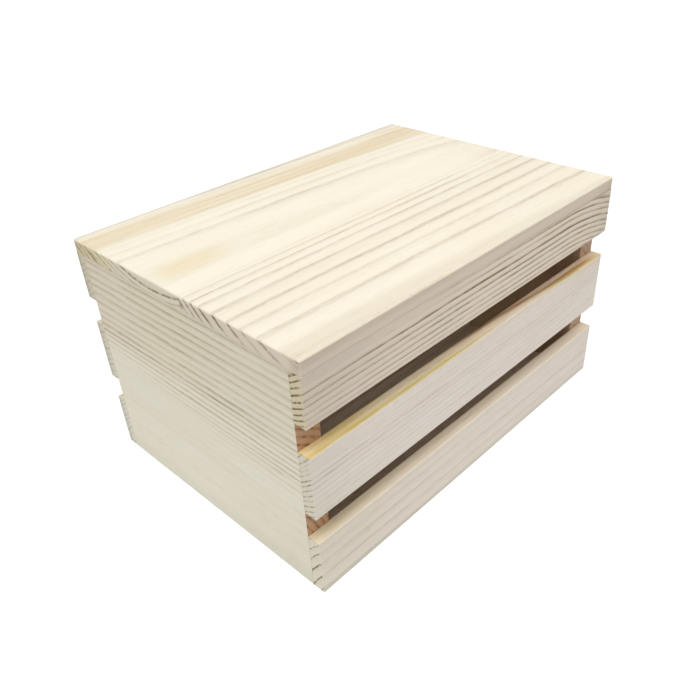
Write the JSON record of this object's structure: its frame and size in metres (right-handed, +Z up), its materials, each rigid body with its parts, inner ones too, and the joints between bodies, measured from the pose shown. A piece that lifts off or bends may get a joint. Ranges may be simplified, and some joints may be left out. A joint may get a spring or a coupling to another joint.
{
  "type": "wooden storage box",
  "caption": "Rectangular pine box with solid ends, spaced slats along the front and back, and a flat lift-off lid on battens, for storing papers and keepsakes.",
  "frame": {"origin": "centre of the underside, on the surface the box stands on", "axes": "+X along the slats to the right, +Y from the front slats to the back slats, +Z up"},
  "size_m": [0.2, 0.14, 0.11],
  "materials": {
    "end_panel_left": "bare sanded pine",
    "end_panel_right": "bare sanded pine",
    "front_slat_bottom": "bare sanded pine",
    "front_slat_middle": "bare sanded pine",
    "front_slat_top": "bare sanded pine",
    "back_slat_bottom": "bare sanded pine",
    "back_slat_middle": "bare sanded pine",
    "back_slat_top": "bare sanded pine",
    "bottom_strip_front": "bare sanded pine",
    "bottom_strip_back": "bare sanded pine",
    "lid_strip_front": "bare sanded pine",
    "lid_strip_back": "bare sanded pine",
    "lid_batten_left": "bare sanded pine",
    "lid_batten_right": "bare sanded pine",
    "pin_steel": "bright wire"
  },
  "bodies": {
    "box": {"end_panel_left": "end_panel_left", "end_panel_right": "end_panel_right", "front_slat_bottom": "front_slat_bottom", "front_slat_middle": "front_slat_middle", "front_slat_top": "front_slat_top", "back_slat_bottom": "back_slat_bottom", "back_slat_middle": "back_slat_middle", "back_slat_top": "back_slat_top", "bottom_strip_front": "bottom_strip_front", "bottom_strip_back": "bottom_strip_back", "front_slat_pins": "pin_steel", "back_slat_pins": "pin_steel", "bottom_pins": "pin_steel"},
    "lid": {"lid_strip_front": "lid_strip_front", "lid_strip_back": "lid_strip_back", "lid_batten_left": "lid_batten_left", "lid_batten_right": "lid_batten_right", "batten_pins": "pin_steel"}
  },
  "joints": [
    {"name": "lid_lift", "type": "slide", "parent": "box", "child": "lid", "axis": [0, 0, 1], "range_m": [0, 0.12]}
  ]
}
